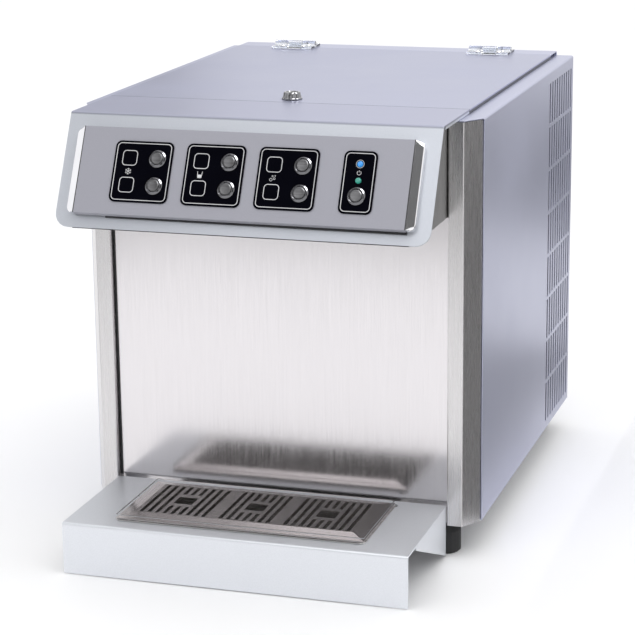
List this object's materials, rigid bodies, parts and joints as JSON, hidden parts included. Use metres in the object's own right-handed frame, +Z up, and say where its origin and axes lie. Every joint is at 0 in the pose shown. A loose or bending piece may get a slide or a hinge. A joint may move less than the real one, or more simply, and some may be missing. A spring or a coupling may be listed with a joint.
{
  "type": "countertop water dispenser",
  "caption": "Sheet-metal countertop water cooler with a sloping push-button console over a splash panel, a drip shelf with a slotted grille, and a hinged lid.",
  "frame": {"origin": "on the counter, under the middle of the appliance's bounding box", "axes": "+X to the right seen from the front, +Y to the rear, +Z up; the drip shelf and console face -Y"},
  "size_m": [0.4, 0.6092, 0.44],
  "materials": {
    "casing_paint": "satin lavender grey paint",
    "hood_paint": "satin pale silver paint",
    "post_steel": "brushed",
    "splash_steel": "fine brushed, soft gloss",
    "grille_steel": "brushed, darker",
    "bowl_steel": "pressed, satin",
    "polished_chrome": "polished",
    "button_steel": "satin",
    "nozzle_steel": "turned",
    "fascia_paint": "satin mid grey",
    "black_plastic": "fine texture",
    "keypad_overlay": "gloss film",
    "blue_lamp": "domed lens",
    "green_lamp": "domed lens",
    "clear_plastic": "clear moulding",
    "galvanised_steel": "spangled zinc",
    "foot_rubber": "matt",
    "compressor_black": "satin black enamel",
    "fin_aluminium": "mill finish",
    "grey_plastic": "moulded",
    "insulation_jacket": "foam jacket",
    "fitting_brass": "machined",
    "circuit_board": "solder mask"
  },
  "bodies": {
    "casing": {"left_side_panel": "casing_paint", "right_side_panel": "casing_paint", "rear_panel": "casing_paint", "hood": "hood_paint", "head_underpan": "hood_paint", "drip_shelf": "hood_paint", "left_corner_post": "post_steel", "right_corner_post": "post_steel", "splash_panel": "splash_steel", "left_end_cap": "polished_chrome", "right_end_cap": "polished_chrome", "cold_upper_bezel": "polished_chrome", "cold_lower_bezel": "polished_chrome", "ambient_upper_bezel": "polished_chrome", "ambient_lower_bezel": "polished_chrome", "sparkling_upper_bezel": "polished_chrome", "sparkling_lower_bezel": "polished_chrome", "energy_bezel": "polished_chrome", "cold_nozzle": "nozzle_steel", "ambient_nozzle": "nozzle_steel", "sparkling_nozzle": "nozzle_steel", "fascia_plate": "fascia_paint", "console_backing": "black_plastic", "fan_shroud": "black_plastic", "mains_inlet": "black_plastic", "cold_keypad": "keypad_overlay", "ambient_keypad": "keypad_overlay", "sparkling_keypad": "keypad_overlay", "energy_keypad": "keypad_overlay", "status_lamp": "blue_lamp", "energy_lamp": "green_lamp", "left_hinge_body_leaf": "clear_plastic", "right_hinge_body_leaf": "clear_plastic", "base_pan": "galvanised_steel", "front_left_foot": "foot_rubber", "front_right_foot": "foot_rubber", "rear_left_foot": "foot_rubber", "rear_right_foot": "foot_rubber", "compressor": "compressor_black", "condenser": "fin_aluminium", "pump": "grey_plastic", "cold_tank": "insulation_jacket", "valve_manifold": "fitting_brass", "water_inlet": "fitting_brass", "gas_inlet": "fitting_brass", "control_board": "circuit_board"},
    "lid": {"lid": "casing_paint", "left_hinge_lid_leaf": "clear_plastic", "right_hinge_lid_leaf": "clear_plastic"},
    "lid_lock": {"lid_lock": "polished_chrome"},
    "fan": {"fan_rotor": "grey_plastic"},
    "bowl": {"drip_bowl": "bowl_steel"},
    "grille": {"drip_grille": "grille_steel"},
    "cold_upper_button": {"cold_upper_button": "button_steel"},
    "cold_lower_button": {"cold_lower_button": "button_steel"},
    "ambient_upper_button": {"ambient_upper_button": "button_steel"},
    "ambient_lower_button": {"ambient_lower_button": "button_steel"},
    "sparkling_upper_button": {"sparkling_upper_button": "button_steel"},
    "sparkling_lower_button": {"sparkling_lower_button": "button_steel"},
    "energy_button": {"energy_button": "button_steel"}
  },
  "joints": [
    {"name": "lid_hinge", "type": "hinge", "parent": "casing", "child": "lid", "pos_m": [0, 0.2598, 0.4364], "axis": [-1, 0, 0], "range_deg": [0, 100]},
    {"name": "lid_lock_turn", "type": "hinge", "parent": "lid", "child": "lid_lock", "pos_m": [0, -0.1024, 0.4325], "axis": [0, 0, -1], "range_deg": [0, 90]},
    {"name": "fan_spin", "type": "hinge", "parent": "casing", "child": "fan", "pos_m": [0.1465, 0.22435, 0.1585], "axis": [1, 0, 0], "continuous": true},
    {"name": "bowl_lift", "type": "slide", "parent": "casing", "child": "bowl", "axis": [0, 0, 1], "range_m": [0, 0.06]},
    {"name": "grille_lift", "type": "slide", "parent": "bowl", "child": "grille", "axis": [0, 0, 1], "range_m": [0, 0.05]},
    {"name": "cold_upper_press", "type": "slide", "parent": "casing", "child": "cold_upper_button", "axis": [0, 0.8891, -0.4577], "range_m": [0, 0.0015], "stiffness_N_per_m": 1500},
    {"name": "cold_lower_press", "type": "slide", "parent": "casing", "child": "cold_lower_button", "axis": [0, 0.8891, -0.4577], "range_m": [0, 0.0015], "stiffness_N_per_m": 1500},
    {"name": "ambient_upper_press", "type": "slide", "parent": "casing", "child": "ambient_upper_button", "axis": [0, 0.8891, -0.4577], "range_m": [0, 0.0015], "stiffness_N_per_m": 1500},
    {"name": "ambient_lower_press", "type": "slide", "parent": "casing", "child": "ambient_lower_button", "axis": [0, 0.8891, -0.4577], "range_m": [0, 0.0015], "stiffness_N_per_m": 1500},
    {"name": "sparkling_upper_press", "type": "slide", "parent": "casing", "child": "sparkling_upper_button", "axis": [0, 0.8891, -0.4577], "range_m": [0, 0.0015], "stiffness_N_per_m": 1500},
    {"name": "sparkling_lower_press", "type": "slide", "parent": "casing", "child": "sparkling_lower_button", "axis": [0, 0.8891, -0.4577], "range_m": [0, 0.0015], "stiffness_N_per_m": 1500},
    {"name": "energy_press", "type": "slide", "parent": "casing", "child": "energy_button", "axis": [0, 0.8891, -0.4577], "range_m": [0, 0.0015], "stiffness_N_per_m": 1500}
  ]
}
